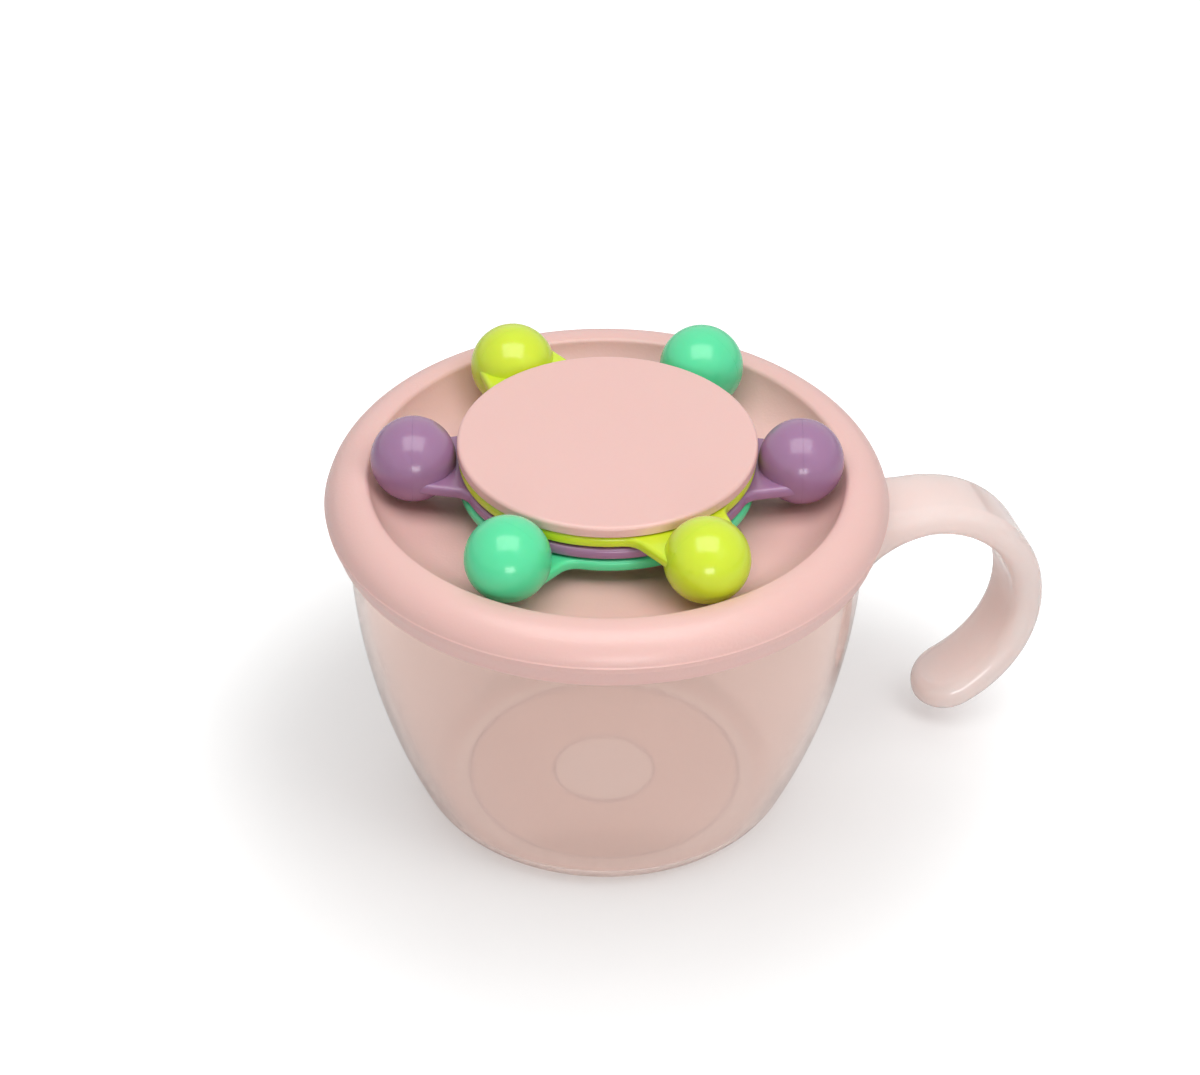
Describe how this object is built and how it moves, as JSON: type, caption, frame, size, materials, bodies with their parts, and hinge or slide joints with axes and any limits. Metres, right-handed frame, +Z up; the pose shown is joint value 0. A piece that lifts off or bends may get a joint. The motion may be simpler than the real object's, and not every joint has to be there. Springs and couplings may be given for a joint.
{
  "type": "toddler snack container",
  "caption": "Tinted snack cup with a hooked handle, a soft slit finger trap and a press-on lid that carries spinning bead rings under a round cap.",
  "frame": {"origin": "centre of the cup's flat underside, on the surface it stands on", "axes": "+Z up along the cup's axis, +X from the cup towards the handle"},
  "size_m": [0.1489, 0.1122, 0.0874],
  "materials": {
    "cup_plastic": "translucent tinted polypropylene, gloss",
    "handle_plastic": "translucent tinted polypropylene, gloss, thick section",
    "trap_elastomer": "soft translucent elastomer, satin",
    "lid_plastic": "satin opaque polypropylene",
    "teal_plastic": "satin gloss",
    "purple_plastic": "satin gloss",
    "lime_plastic": "satin gloss"
  },
  "bodies": {
    "cup": {"cup": "cup_plastic", "handle": "handle_plastic"},
    "finger_trap": {"finger_trap": "trap_elastomer"},
    "lid": {"lid": "lid_plastic", "lid_cap": "lid_plastic"},
    "teal_spinner": {"teal_ring": "teal_plastic", "teal_bead_1": "teal_plastic", "teal_bead_2": "teal_plastic"},
    "purple_spinner": {"purple_ring": "purple_plastic", "purple_bead_1": "purple_plastic", "purple_bead_2": "purple_plastic"},
    "lime_spinner": {"lime_ring": "lime_plastic", "lime_bead_1": "lime_plastic", "lime_bead_2": "lime_plastic"}
  },
  "joints": [
    {"name": "trap_lift", "type": "slide", "parent": "cup", "child": "finger_trap", "axis": [0, 0, 1], "range_m": [0, 0.04]},
    {"name": "lid_lift", "type": "slide", "parent": "finger_trap", "child": "lid", "axis": [0, 0, 1], "range_m": [0, 0.04]},
    {"name": "teal_spin", "type": "hinge", "parent": "lid", "child": "teal_spinner", "pos_m": [0, 0, 0.0739], "axis": [0, 0, 1], "continuous": true},
    {"name": "purple_spin", "type": "hinge", "parent": "teal_spinner", "child": "purple_spinner", "pos_m": [0, 0, 0.0768], "axis": [0, 0, 1], "range_deg": [-16, 32]},
    {"name": "lime_spin", "type": "hinge", "parent": "teal_spinner", "child": "lime_spinner", "pos_m": [0, 0, 0.0796], "axis": [0, 0, 1], "range_deg": [-32, 16]}
  ]
}
